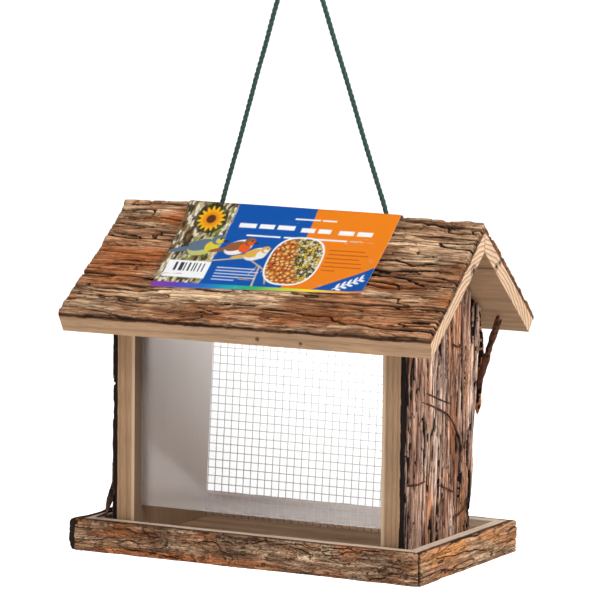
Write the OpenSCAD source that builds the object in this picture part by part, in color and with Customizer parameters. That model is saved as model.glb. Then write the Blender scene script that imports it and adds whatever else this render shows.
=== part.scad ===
// Hanging bird feeder made of bark-faced slabs.
// A bottomed tray carries two gable walls with a clear seed window in front and a
// wire peanut mesh behind. The rear half of the roof is a fixed ridge strip and a
// hinged filling flap. It hangs from one cord that passes through the ridge.
// Everything is laid out from the middle of the tray's underside, +Z up and the
// window towards -Y, and is then moved so that the hook's contact point inside the
// top of the cord loop is the origin.

/* [Tray] */
// Outer length of the tray over the bark
tray_l = 293; // [285:1:305]
// Outer depth of the tray over the bark
tray_d = 171; // [168:1:180]
// Height of the rims
rim_h = 25; // [20:1:32]
// Thickness of a rim's wood
rim_t = 9; // [7:1:9]
// Thickness of the bark on a rim
rim_bark_t = 5; // [3:0.5:5]
// Thickness of the floor board
floor_t = 11; // [9:1:13]

/* [Walls] */
// Clear width between the two walls
hopper_w = 210; // [195:1:214]
// Thickness of a wall's wood
wall_t = 15.5; // [13:0.5:16]
// Thickness of the bark on a wall
wall_bark_t = 4; // [2:0.5:4]
// Distance from the middle to the walls' front edge
wall_front = 67; // [62:1:70]
// Distance from the middle to the walls' rear edge at the floor
wall_rear_low = 45; // [40:1:48]
// Distance from the middle to the walls' rear edge under the roof
wall_rear_top = 58.5; // [50:0.5:60]

/* [Roof] */
// Length of the roof along the ridge
roof_l = 310; // [290:1:330]
// Slope of both roof halves in degrees
roof_slope = 39.7; // [38:0.1:42]
// Width of a roof half down the slope
roof_w = 116.4; // [112:0.1:120]
// Height of the inner apex above the tray's underside
apex_z = 239; // [225:1:250]
// Thickness of the roof boards at the ridge
roof_t = 12; // [10:0.5:14]
// Height of the front board's cut edge at the eave
eave_h = 11.4; // [9:0.1:14]
// Thickness of the bark on the roof
roof_bark_t = 4.1; // [3:0.1:5]
// Distance down the slope from the ridge to the flap's joint
joint_s = 38.8; // [36:0.1:44]
// Tilt of the flap's joint from square, in degrees
joint_tilt = 25; // [15:1:28]

/* [Window and mesh] */
// Thickness of the clear window
pane_t = 2; // [1.5:0.1:3]
// Distance from the middle to the window
pane_y = 55.5; // [50:0.5:58]
// Height of the window's lower edge above the tray's underside
pane_z = 35; // [25:1:45]
// Depth of the groove that holds the window
groove_d = 4; // [2:0.5:6]
// Spacing of the mesh wires
mesh_pitch = 6.35; // [6:0.05:13]
// Thickness of one mesh wire
wire_t = 0.9; // [0.6:0.1:1.2]

/* [Cord and label] */
// Thickness of the cord
cord_d = 4; // [3:0.5:5]
// Distance from the middle to each cord hole
cord_x = 71; // [60:1:76]
// Length of the label card along the ridge
card_l = 183; // [150:1:200]
// Height of the label card's front leaf down the slope
card_front = 88; // [70:1:95]

/* [Flap hinges] */
// Distance from the middle to each hinge
hinge_x = 100; // [60:1:120]
// Width of a hinge along the ridge
hinge_w = 30; // [24:1:40]
// Radius of the hinge pin
pin_r = 1.2; // [1:0.1:1.5]

/* [Hidden] */
$fn = 32;

// Colours
bark_brown = [0.45, 0.29, 0.20];
sawn_wood = [0.80, 0.66, 0.49];
steel = [0.70, 0.71, 0.72];
cord_green = [0.08, 0.24, 0.18];

// Tray, half sizes from the outside in
bark_x = tray_l / 2;
bark_y = tray_d / 2;
wood_x = bark_x - rim_bark_t;
wood_y = bark_y - rim_bark_t;
floor_x = wood_x - rim_t;
floor_y = wood_y - rim_t;

// Walls
wall_in = hopper_w / 2;
wall_out = wall_in + wall_t;

// Roof section in slope coordinates: s runs down the slope from the ridge along
// the wood's upper face, n stands out of that face.
ridge_z = apex_z + roof_t / cos(roof_slope);
eave_y = roof_w * cos(roof_slope);
eave_z = ridge_z - roof_w * sin(roof_slope);
function on_slope(s, n) = [s * cos(roof_slope) + n * sin(roof_slope),
    ridge_z - s * sin(roof_slope) + n * cos(roof_slope)];
function mirror_y(points) = [for (p = points) [-p[0], p[1]]];
// Height at the ridge, over the middle plane, of a face n above the wood
function ridge_at(n) = ridge_z + n / cos(roof_slope);
// Where the flap's tilted joint crosses a face n above the wood
function joint_at(n) = joint_s - (roof_bark_t - n) * tan(joint_tilt);
joint_gap = 0.6;
under_front = (apex_z - (eave_z - eave_h)) / (eave_y - 1.6);

// The hinges' axis, just above the bark
axis_n = roof_bark_t + 0.9;
axis_yz = on_slope(joint_s, axis_n);
leaf_t = 1;
leaf_l = 15;
leaf_reach = 2.6;
barrel_r = 2.4;
running_gap = 0.06;
knuckle_gap = 0.4;
knuckle = hinge_w / 3.4;
notch_room = 1.2;
screw_r = 1.4;
screw_l = 9;
screw_head_r = 2.6;
screw_head_t = 1.3;
slot_l = 3;
slot_w = 0.6;
slot_deep = 0.8;

// The wall's outline in the YZ plane
flap_rest_gap = 0.5;
flap_swing_gap = 2.8;
joint_in = on_slope(joint_at(-roof_t) - joint_gap / 2, -roof_t);
under_flap = apex_z - wall_rear_top * tan(roof_slope) - flap_rest_gap;
wall_outline = [[-wall_front, floor_t], [wall_rear_low, floor_t],
    [wall_rear_top, under_flap],
    [joint_in[0] - 0.6, joint_in[1] + 0.6 * tan(roof_slope) - flap_swing_gap],
    [joint_in[0] - 0.6, joint_in[1] + 0.6 * tan(roof_slope)],
    [0, apex_z], [-wall_front, apex_z - wall_front * under_front]];

// Window
pane_x = wall_in + groove_d - 0.4;
pane_top = apex_z - (pane_y + pane_t) * under_front - 2;

// Mesh, leaning back against the walls' rear edges
mesh_lean = atan((wall_rear_top - wall_rear_low) / (under_flap - floor_t));
mesh_cols = 35;
mesh_rows = 27;
mesh_w = mesh_cols * mesh_pitch + wire_t;
mesh_h = mesh_rows * mesh_pitch + wire_t;
mesh_t = 2 * wire_t;
staple_w = 8;
staple_t = 0.7;
staple_leg = 8;
staple_rows = [2, 9, 17, 25];

// Nails
nail_r = 0.9;
nail_head_r = 1.5;
nail_head_t = 0.8;
// Along and up the long rims: the outer two hold the mitred corners
rim_nail_places = [[-135, 18], [-35, 4.5], [17, 4.5], [135, 7]];

// The cord's route: knot, up through the left hole, over the hook, and back down.
// The points are heights and places from the middle of the tray's underside.
hole_y = 5;
hole_r = 2.6;
knot_r = 5.5;
knot_z = 227.6;
hook_y = -6;
hook_z = 459;
cord_route = [[-71, 5, 229], [-71, 5, 240], [-71, 5, 250], [-71, 5, 258],
    [-70, 4.9, 265], [-67, 4.4, 275], [-61, 3.4, 293], [-54, 2.3, 314],
    [-46, 1, 339], [-38, -0.4, 364], [-30, -1.7, 388], [-22, -3.1, 413],
    [-15, -4.3, 434], [-10.5, -5, 448], [-7.5, -5.5, 456], [-4, -5.9, 460],
    [0, -6, 461.3],
    [4, -5.9, 460], [7.5, -5.5, 456], [10.5, -5, 448], [15, -4.3, 434],
    [22, -3.1, 413], [30, -1.7, 388], [38, -0.4, 364], [46, 1, 339],
    [54, 2.3, 314], [61, 3.4, 293], [67, 4.4, 275], [70, 4.9, 265],
    [71, 5, 258], [71, 5, 250], [71, 5, 240], [71, 5, 229]];
cord_sides = 10;

// Label card, as a bent sheet over the ridge
card_t = 0.6;
card_gap = 0.3;
card_rear = 17;
card_x = -5.5;
card_lift = 3;

// Places a child drawn in the YZ plane, as an extrusion of a given width along X
module along_x(width, x = 0)
    translate([x - width / 2, 0, 0])
    rotate([90, 0, 90])
    linear_extrude(width) children();

// Puts children, drawn with X across and Z out of the slope, on the rear slope
module on_rear_slope(x, s, n = 0) {
    at = on_slope(s, n);
    translate([x, at[0], at[1]]) rotate([-roof_slope, 0, 0]) children();
}

// One nail, driven along -Z from its head at the origin
module nail(length) {
    cylinder(h = nail_head_t, r = nail_head_r);
    translate([0, 0, -length]) cylinder(h = length, r = nail_r);
}

// The blocks that the bark's notches for the hinge leaves remove
module hinge_notches()
    for (x = [-hinge_x, hinge_x])
        on_rear_slope(x, joint_s)
        translate([-hinge_w / 2 - notch_room, -leaf_l - leaf_reach - notch_room, 0])
        cube([hinge_w + 2 * notch_room, 2 * (leaf_l + leaf_reach + notch_room), 30]);

// Both cord holes, straight down through the ridge strip
module cord_holes()
    for (x = [-cord_x, cord_x])
        translate([x, hole_y, apex_z - 30]) cylinder(h = 80, r = hole_r);

// Tray

module floor_board()
    color(sawn_wood)
    translate([-floor_x, -floor_y, 0]) cube([2 * floor_x, 2 * floor_y, floor_t]);

// One mitred side of a frame: half length, half depth and thickness
module mitred_side(x, y, t, h)
    linear_extrude(h)
    polygon([[-x, -y], [x, -y], [x - t, -y + t], [-x + t, -y + t]]);

module front_rim() color(sawn_wood) mitred_side(wood_x, wood_y, rim_t, rim_h);
module rear_rim() color(sawn_wood) rotate([0, 0, 180]) mitred_side(wood_x, wood_y, rim_t, rim_h);
module right_rim() color(sawn_wood) rotate([0, 0, 90]) mitred_side(wood_y, wood_x, rim_t, rim_h);
module left_rim() color(sawn_wood) rotate([0, 0, -90]) mitred_side(wood_y, wood_x, rim_t, rim_h);

module front_rim_bark()
    color(bark_brown) mitred_side(bark_x, bark_y, rim_bark_t, rim_h);
module rear_rim_bark()
    color(bark_brown) rotate([0, 0, 180]) mitred_side(bark_x, bark_y, rim_bark_t, rim_h);
module right_rim_bark()
    color(bark_brown) rotate([0, 0, 90]) mitred_side(bark_y, bark_x, rim_bark_t, rim_h);
module left_rim_bark()
    color(bark_brown) rotate([0, 0, -90]) mitred_side(bark_y, bark_x, rim_bark_t, rim_h);

// Walls

module wall_board()
    difference() {
        along_x(wall_t, wall_in + wall_t / 2) polygon(wall_outline);
        translate([wall_in - 1, -pane_y - pane_t / 2 - 0.2, pane_z - 0.4])
            cube([groove_d + 1, pane_t + 0.4, 200]);
    }

module wall_bark()
    along_x(wall_bark_t, wall_out + wall_bark_t / 2) polygon(wall_outline);

module right_wall() color(sawn_wood) wall_board();
module left_wall() color(sawn_wood) mirror([1, 0, 0]) wall_board();
module right_wall_bark() color(bark_brown) wall_bark();
module left_wall_bark() color(bark_brown) mirror([1, 0, 0]) wall_bark();

// Window and mesh

module window_pane()
    color([0.85, 0.9, 0.95, 0.35])
    translate([-pane_x, -pane_y - pane_t / 2, pane_z])
    cube([2 * pane_x, pane_t, pane_top - pane_z]);

module on_mesh_plane()
    translate([0, wall_rear_low, floor_t]) rotate([90 - mesh_lean, 0, 0])
    translate([0, 0.6, -mesh_t]) children();

module mesh_panel()
    color(steel) on_mesh_plane() linear_extrude(mesh_t) difference() {
        translate([-mesh_w / 2, 0]) square([mesh_w, mesh_h]);
        for (i = [0 : mesh_cols - 1], j = [0 : mesh_rows - 1])
            translate([-mesh_w / 2 + wire_t + i * mesh_pitch, wire_t + j * mesh_pitch])
            square(mesh_pitch - wire_t);
    }

// Each staple straddles one level wire and is driven into a wall's rear edge
module mesh_staples()
    color(steel) for (side = [-1, 1], row = staple_rows) on_mesh_plane()
        translate([side * (wall_in + 4.3) - staple_t / 2, row * mesh_pitch + wire_t / 2,
            -staple_t])
        rotate([90, 0, 90]) linear_extrude(staple_t)
        difference() {
            translate([-staple_w / 2, 0]) square([staple_w, staple_leg]);
            translate([-staple_w / 2 + staple_t, staple_t])
                square([staple_w - 2 * staple_t, staple_leg]);
        }

// Roof

module front_roof_board()
    color(sawn_wood) along_x(roof_l)
    polygon([[0, ridge_z], [-eave_y, eave_z], [-eave_y + 1.6, eave_z - eave_h], [0, apex_z]]);

module front_roof_bark()
    color(bark_brown) along_x(roof_l)
    polygon([[0, ridge_z], [0, ridge_at(roof_bark_t)], mirror_y([on_slope(roof_w, roof_bark_t)])[0],
        [-eave_y, eave_z]]);

module ridge_strip()
    color(sawn_wood) difference() {
        along_x(roof_l) polygon([[0, apex_z], on_slope(joint_at(-roof_t) - joint_gap / 2, -roof_t),
            on_slope(joint_at(0) - joint_gap / 2, 0), [0, ridge_z]]);
        cord_holes();
    }

module ridge_strip_bark()
    color(bark_brown) difference() {
        along_x(roof_l) polygon([[0, ridge_z], on_slope(joint_at(0) - joint_gap / 2, 0),
            on_slope(joint_s - joint_gap / 2, roof_bark_t), [0, ridge_at(roof_bark_t)]]);
        cord_holes();
        hinge_notches();
    }

module roof_flap()
    color(sawn_wood) along_x(roof_l)
    polygon([on_slope(joint_at(0) + joint_gap / 2, 0),
        on_slope(joint_at(-roof_t) + joint_gap / 2, -roof_t),
        on_slope(roof_w, -roof_t), on_slope(roof_w, 0)]);

module roof_flap_bark()
    color(bark_brown) difference() {
        along_x(roof_l) polygon([on_slope(joint_at(0) + joint_gap / 2, 0), on_slope(roof_w, 0),
            on_slope(roof_w, roof_bark_t), on_slope(joint_s + joint_gap / 2, roof_bark_t)]);
        hinge_notches();
    }

// Hinges, drawn with Y down the slope from the joint and Z out of the wood

// A leaf with its web up to the barrel; side is -1 towards the ridge, 1 on the flap
module leaf_profile(side) {
    translate([side > 0 ? leaf_reach : -leaf_reach - leaf_l, 0]) square([leaf_l, leaf_t]);
    polygon([for (p = [[leaf_reach, 0], [leaf_reach + 1.4, 0], [1.9, axis_n - 0.6],
        [0.6, axis_n - 1.6]]) [side * p[0], p[1]]]);
}

module leaf_body(side, from, to)
    translate([from, 0, 0]) rotate([90, 0, 90]) linear_extrude(to - from) children();

module screw_places(side)
    for (x = [-hinge_w / 3.6, hinge_w / 3.6])
        translate([x, side * (leaf_reach + leaf_l * 0.58), 0]) children();

module hinge_leaf(side, bore_r, spans)
    difference() {
        union() {
            leaf_body(side, -hinge_w / 2, hinge_w / 2)
                translate([side > 0 ? leaf_reach : -leaf_reach - leaf_l, 0])
                square([leaf_l, leaf_t]);
            for (span = spans)
                leaf_body(side, span[0], span[1]) union() {
                    leaf_profile(side);
                    translate([0, axis_n]) circle(r = barrel_r);
                }
        }
        translate([-hinge_w, 0, axis_n]) rotate([0, 90, 0]) cylinder(h = 2 * hinge_w, r = bore_r);
        screw_places(side) translate([0, 0, -1]) cylinder(h = 5, r = screw_r + 0.2);
    }

module hinge_fixed_leaves()
    color(steel) for (x = [-hinge_x, hinge_x])
        on_rear_slope(x, joint_s)
        hinge_leaf(-1, pin_r,
            [[-hinge_w / 2, -hinge_w / 2 + knuckle], [hinge_w / 2 - knuckle, hinge_w / 2]]);

module hinge_flap_leaves()
    color(steel) for (x = [-hinge_x, hinge_x])
        on_rear_slope(x, joint_s)
        hinge_leaf(1, pin_r + running_gap,
            [[-hinge_w / 2 + knuckle + knuckle_gap, hinge_w / 2 - knuckle - knuckle_gap]]);

module hinge_pins()
    color(steel) for (x = [-hinge_x, hinge_x])
        translate([x - hinge_w / 2 - 0.6, axis_yz[0], axis_yz[1]])
        rotate([0, 90, 0]) cylinder(h = hinge_w + 1.2, r = pin_r);

// Pan-headed screws with a cross slot, through one leaf of each hinge
module hinge_screws(side)
    for (x = [-hinge_x, hinge_x])
        on_rear_slope(x, joint_s) screw_places(side) difference() {
            union() {
                translate([0, 0, leaf_t]) cylinder(h = screw_head_t, r = screw_head_r);
                translate([0, 0, leaf_t - screw_l]) cylinder(h = screw_l, r = screw_r);
            }
            for (turn = [20, 110])
                rotate([0, 0, turn])
                translate([-slot_l / 2, -slot_w / 2, leaf_t + screw_head_t - slot_deep])
                cube([slot_l, slot_w, 2]);
        }

module hinge_fixed_screws() color(steel) hinge_screws(-1);
module hinge_flap_screws() color(steel) hinge_screws(1);

// Nails

module rim_nails()
    color(steel) for (turn = [0, 180]) rotate([0, 0, turn]) {
        for (place = rim_nail_places)
            translate([place[0], -bark_y + nail_head_t, place[1]]) rotate([90, 0, 0]) nail(32);
        for (y = [-40, 40])
            translate([bark_x - nail_head_t, y, floor_t / 2]) rotate([0, 90, 0]) nail(32);
    }

module wall_nails()
    color(steel) for (side = [-1, 1], y = [-48, -8, 30])
        translate([side * (wall_in + wall_t / 2), y, nail_head_t]) rotate([180, 0, 0]) nail(36);

module roof_nails()
    color(steel) for (side = [-1, 1]) {
        for (s = [30, 66]) {
            at = on_slope(s, roof_bark_t - nail_head_t);
            translate([side * (wall_in + wall_t / 2), -at[0], at[1]])
                rotate([roof_slope, 0, 0]) nail(32);
        }
        on_rear_slope(side * (wall_in + wall_t / 2), 14, roof_bark_t - nail_head_t) nail(32);
    }

// Cord

function unit(v) = v / norm(v);
function heading(path, i) =
    unit(path[min(i + 1, len(path) - 1)] - path[max(i - 1, 0)]);

// Sweeps a round tube along a path that lies close to a plane facing Y
module swept_tube(path, r, sides) {
    last = len(path) - 1;
    points = [for (i = [0 : last])
        let (across = unit(cross([0, 1, 0], heading(path, i))),
            up = cross(heading(path, i), across))
        for (k = [0 : sides - 1])
        path[i] + r * (cos(360 * k / sides) * across + sin(360 * k / sides) * up)];
    faces = concat([[for (k = [0 : sides - 1]) k]],
        [for (i = [0 : last - 1], k = [0 : sides - 1])
            [i * sides + k, (i + 1) * sides + k, (i + 1) * sides + (k + 1) % sides,
                i * sides + (k + 1) % sides]],
        [[for (k = [sides - 1 : -1 : 0]) last * sides + k]]);
    polyhedron(points, faces);
}

module cord_loop() color(cord_green) swept_tube(cord_route, cord_d / 2, cord_sides);

module cord_knot(side)
    color(cord_green) translate([side * cord_x, hole_y, knot_z]) sphere(r = knot_r);

module left_cord_knot() cord_knot(-1);
module right_cord_knot() cord_knot(1);

// Label card

card_n = roof_bark_t + card_gap;
module label_card()
    color([0.93, 0.55, 0.15]) difference() {
        along_x(card_l, card_x) polygon([
            mirror_y([on_slope(card_front, card_n)])[0],
            mirror_y([on_slope(6, card_n)])[0],
            [0, ridge_at(card_n) + card_lift - 2],
            on_slope(6, card_n), on_slope(card_rear, card_n),
            on_slope(card_rear, card_n + card_t), on_slope(6, card_n + card_t),
            [0, ridge_at(card_n + card_t) + card_lift - 2],
            mirror_y([on_slope(6, card_n + card_t)])[0],
            mirror_y([on_slope(card_front, card_n + card_t)])[0]]);
        cord_holes();
    }

module label_staples()
    color(steel) for (x = [-60, 48])
        on_rear_slope(x, 13, card_n + card_t)
        translate([-5, -0.3, 0]) cube([10, 0.6, 0.6]);

// Moves the whole feeder so that the hook's contact point is the origin
module hung() translate([0, -hook_y, -hook_z]) children();

hung() floor_board();
hung() front_rim();
hung() rear_rim();
hung() left_rim();
hung() right_rim();
hung() front_rim_bark();
hung() rear_rim_bark();
hung() left_rim_bark();
hung() right_rim_bark();
hung() left_wall();
hung() right_wall();
hung() left_wall_bark();
hung() right_wall_bark();
hung() window_pane();
hung() mesh_panel();
hung() mesh_staples();
hung() front_roof_board();
hung() front_roof_bark();
hung() ridge_strip();
hung() ridge_strip_bark();
hung() roof_flap();
hung() roof_flap_bark();
hung() hinge_fixed_leaves();
hung() hinge_flap_leaves();
hung() hinge_pins();
hung() hinge_fixed_screws();
hung() hinge_flap_screws();
hung() rim_nails();
hung() wall_nails();
hung() roof_nails();
hung() cord_loop();
hung() left_cord_knot();
hung() right_cord_knot();
hung() label_card();
hung() label_staples();
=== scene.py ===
"""Looks for the hanging bark-slab bird feeder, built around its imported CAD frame.

All lengths are metres. +X runs along the ridge, -Y faces the seed window, +Z is up and
the origin is where a hook would touch the top of the cord loop.
"""

import math
from types import SimpleNamespace

import bmesh
import bpy
import numpy as np
from mathutils import Matrix, Vector


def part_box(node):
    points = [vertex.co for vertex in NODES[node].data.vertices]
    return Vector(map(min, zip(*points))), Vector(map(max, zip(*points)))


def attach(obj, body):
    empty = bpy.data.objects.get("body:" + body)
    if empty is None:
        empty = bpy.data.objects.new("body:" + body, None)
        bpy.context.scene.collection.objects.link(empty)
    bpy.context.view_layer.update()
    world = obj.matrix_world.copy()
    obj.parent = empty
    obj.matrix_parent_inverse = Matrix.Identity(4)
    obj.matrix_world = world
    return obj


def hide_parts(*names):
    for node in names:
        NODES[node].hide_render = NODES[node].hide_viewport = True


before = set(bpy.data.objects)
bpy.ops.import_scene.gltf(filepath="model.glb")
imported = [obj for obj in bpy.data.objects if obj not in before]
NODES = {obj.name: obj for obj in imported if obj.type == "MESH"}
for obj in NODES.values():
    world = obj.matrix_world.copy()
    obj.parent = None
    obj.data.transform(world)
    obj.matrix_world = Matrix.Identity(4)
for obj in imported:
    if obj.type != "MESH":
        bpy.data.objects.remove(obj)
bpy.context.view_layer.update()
MM = 0.001

# -------- places taken from the frame

TRAY_LOW, TRAY_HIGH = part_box("floor_board")
MID_Y = (TRAY_LOW.y + TRAY_HIGH.y) / 2
BASE_Z = TRAY_LOW.z
FLOOR_Z = TRAY_HIGH.z
SLOPE = math.radians(39.7)
ROOF_X, _, RIDGE_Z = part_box("front_roof_board")[1]
ROOF_W = (RIDGE_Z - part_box("front_roof_bark")[0].z) / math.sin(SLOPE)
JOINT_S = 38.8 * MM
WALL_IN, WALL_FRONT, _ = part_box("right_wall")[0]
WALL_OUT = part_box("right_wall")[1].x
WOOD_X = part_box("right_rim")[1].x
WOOD_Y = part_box("rear_rim")[1].y - MID_Y
RIM_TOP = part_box("front_rim")[1].z
NAIL_X = (WALL_IN + WALL_OUT) / 2


def on_slope(s, n, side):
    """A point s down a roof half and n out of its wood: side -1 is the front half."""
    y = s * np.cos(SLOPE) + n * np.sin(SLOPE)
    return MID_Y + side * y, RIDGE_Z - s * np.sin(SLOPE) + n * np.cos(SLOPE)


def from_base(x, y, z):
    """A CAD place in millimetres from the middle of the tray's underside, in the row frame."""
    return Vector((x * MM, MID_Y + y * MM, BASE_Z + z * MM))


# -------- camera

AZIMUTH, ELEVATION, ROLL = math.radians(27.74), math.radians(8.31), math.radians(0.62)
SENSOR = 36
FOCAL_IN_FRAMES = 3700 / 600
STAND_OFF = 2.8268
TARGET = Vector((0, MID_Y, BASE_Z + 0.10505))
AIM_RIGHT, AIM_UP = 2.14 / 3700, 115.6 / 3700


def link(name, data):
    """A new object in the scene."""
    thing = bpy.data.objects.new(name, data)
    bpy.context.scene.collection.objects.link(thing)
    return thing


def make_camera():
    back = Vector((math.sin(AZIMUTH) * math.cos(ELEVATION),
                   -math.cos(AZIMUTH) * math.cos(ELEVATION), math.sin(ELEVATION)))
    level = Vector((math.cos(AZIMUTH), math.sin(AZIMUTH), 0))
    upright = back.cross(level)
    right = level * math.cos(ROLL) + upright * math.sin(ROLL)
    up = upright * math.cos(ROLL) - level * math.sin(ROLL)
    look = (-back + right * AIM_RIGHT + up * AIM_UP).normalized()
    across = look.cross(up).normalized()
    data = bpy.data.cameras.new("camera")
    data.sensor_width = SENSOR
    data.lens = SENSOR * FOCAL_IN_FRAMES
    data.clip_end = 100
    camera = link("camera", data)
    axes = Matrix((across, across.cross(look), -look)).transposed().to_4x4()
    camera.matrix_world = Matrix.Translation(TARGET + back * STAND_OFF) @ axes
    bpy.context.scene.camera = camera


make_camera()

# -------- noise fields


def lattice(ix, iy, seed):
    """A repeatable random value from 0 to 1 at each whole-number grid point."""
    h = (ix.astype(np.int64) * 374761393 + iy.astype(np.int64) * 668265263
         + seed * 974634777) & 0xFFFFFFFF
    h = ((h ^ (h >> 13)) * 1274126177) & 0xFFFFFFFF
    h = ((h ^ (h >> 15)) * 2246822519) & 0xFFFFFFFF
    return ((h ^ (h >> 16)) & 0xFFFFF) / 0xFFFFF


def value_noise(x, y, seed):
    ix, iy = np.floor(x), np.floor(y)
    fx, fy = x - ix, y - iy
    fx, fy = fx * fx * (3 - 2 * fx), fy * fy * (3 - 2 * fy)
    low = lattice(ix, iy, seed) * (1 - fx) + lattice(ix + 1, iy, seed) * fx
    high = lattice(ix, iy + 1, seed) * (1 - fx) + lattice(ix + 1, iy + 1, seed) * fx
    return low * (1 - fy) + high * fy


def fractal(x, y, seed, octaves=4, growth=2.03, apart=17, crests=False):
    """Noise from 0 to 1 in octaves. With crests it has sharp ones at 1 and valleys at 0."""
    total, weight, size = 0.0, 0.5, 1.0
    for k in range(octaves):
        value = value_noise(x * size, y * size, seed + apart * k)
        total = total + weight * (1 - np.abs(2 * value - 1) if crests else value)
        weight, size = weight / 2, size * growth
    return total / (1 - 0.5 ** octaves)


def ridged(x, y, seed, octaves=3):
    return fractal(x, y, seed, octaves, 2.1, 31, True)


def cells(x, y, seed):
    """Distance to the nearest cell border, distance to the cell's middle, and its random value."""
    ix, iy = np.floor(x), np.floor(y)
    first = np.full(x.shape, 9.0)
    second = np.full(x.shape, 9.0)
    name = np.zeros(x.shape)
    for dx in (-1, 0, 1):
        for dy in (-1, 0, 1):
            cx, cy = ix + dx, iy + dy
            px = cx + 0.1 + 0.8 * lattice(cx, cy, seed)
            py = cy + 0.1 + 0.8 * lattice(cx, cy, seed + 5)
            d = np.hypot(px - x, py - y)
            nearer = d < first
            second = np.where(nearer, first, np.minimum(second, d))
            name = np.where(nearer, lattice(cx, cy, seed + 9), name)
            first = np.where(nearer, d, first)
    return second - first, first, name


def smooth(low, high, x):
    t = np.clip((x - low) / (high - low), 0, 1)
    return t * t * (3 - 2 * t)


# -------- meshes


def belongs(piece, body, slot, *nodes):
    """Ties a piece to its body and hides the CAD nodes that it stands for. slot is not used."""
    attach(piece, body)
    if nodes:
        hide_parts(*nodes)


def new_object(name, vertices, faces, material):
    mesh = bpy.data.meshes.new(name)
    mesh.from_pydata([tuple(v) for v in vertices], [], [tuple(f) for f in faces])
    mesh.validate()
    mesh.update()
    mesh.materials.append(material)
    mesh.polygons.foreach_set("use_smooth", [True] * len(mesh.polygons))
    return link(name, mesh)


def mesh_of(work, name, material):
    """A mesh from the bmesh that a piece was worked on in."""
    mesh = bpy.data.meshes.new(name)
    work.to_mesh(mesh)
    work.free()
    mesh.materials.clear()
    mesh.materials.append(material)
    return mesh


def fix_normals(piece):
    work = bmesh.new()
    work.from_mesh(piece.data)
    bmesh.ops.recalc_face_normals(work, faces=work.faces)
    work.to_mesh(piece.data)
    work.free()


def store(piece, key, values):
    """Keeps one number for each vertex, for a material to read."""
    layer = piece.data.attributes.new(key, "FLOAT", "POINT")
    layer.data.foreach_set("value", values.astype(np.float32))


def grid(nu, nv):
    """Places from 0 to 1 over a sheet, the numbers of its vertices and its faces."""
    a, b = np.meshgrid(np.linspace(0, 1, nu), np.linspace(0, 1, nv), indexing="ij")
    index = np.arange(nu * nv).reshape(nu, nv)
    quads = np.stack([index[:-1, :-1], index[1:, :-1], index[1:, 1:], index[:-1, 1:]], -1)
    return a, b, index, quads


def along(points, step):
    """A smooth curve through points, as evenly spaced points about a step apart, and its length."""
    p = np.array(points, float)
    p = np.vstack([2 * p[0] - p[1], p, 2 * p[-1] - p[-2]])
    out = []
    t = np.linspace(0, 1, 40, endpoint=False)[:, None]
    for a, b, c, d in zip(p, p[1:], p[2:], p[3:]):
        out.append(0.5 * (2 * b + (c - a) * t + (2 * a - 5 * b + 4 * c - d) * t ** 2
                          + (3 * b - a - 3 * c + d) * t ** 3))
    dense = np.vstack(out + [p[-2:-1]])
    far = np.concatenate([[0], np.cumsum(np.linalg.norm(np.diff(dense, axis=0), axis=1))])
    count = max(2, int(round(far[-1] / step)) + 1)
    even = np.linspace(0, far[-1], count)
    return np.stack([np.interp(even, far, dense[:, k]) for k in range(3)], 1), far[-1]


def frames_of(path):
    """Two directions across a path at each of its points, carried along without twist."""
    heading = np.gradient(path, axis=0)
    heading /= np.linalg.norm(heading, axis=1)[:, None]
    side = np.cross(heading[0], (0.3, 0.9, 0.2))
    sides = []
    for h in heading:
        side = side - h * side.dot(h)
        side = side / np.linalg.norm(side)
        sides.append(side)
    sides = np.array(sides)
    return sides, np.cross(heading, sides)


def tube_mesh(path, radius, sides=8, start=0, flat=1.0):
    """Closed tube along a path, its vertices numbered from start. radius is one number or one
    for each point, and flat is the thickness for a width of 1."""
    a, b = frames_of(path)
    radius = np.broadcast_to(np.asarray(radius, float), (len(path),))
    turn = np.linspace(0, 2 * math.pi, sides, endpoint=False)[None, :, None]
    ring = a[:, None, :] * np.cos(turn) + b[:, None, :] * np.sin(turn) * flat
    vertices = (path[:, None, :] + ring * radius[:, None, None]).reshape(-1, 3)
    number = start + np.arange(len(path) * sides).reshape(-1, sides)
    after = np.roll(number, -1, axis=1)
    faces = np.stack([number[:-1], after[:-1], after[1:], number[1:]], -1).reshape(-1, 4).tolist()
    return vertices, faces + [number[0, ::-1].tolist(), number[-1].tolist()]


def tubes(name, runs, material, sides=8):
    """One piece from several tubes, each a (path, radius) pair."""
    vertices, faces = [], []
    for path, radius in runs:
        more, them = tube_mesh(np.asarray(path, float), radius, sides, sum(map(len, vertices)))
        vertices.append(more)
        faces += them
    return new_object(name, np.vstack(vertices), faces, material)


# -------- shader nodes


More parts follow.
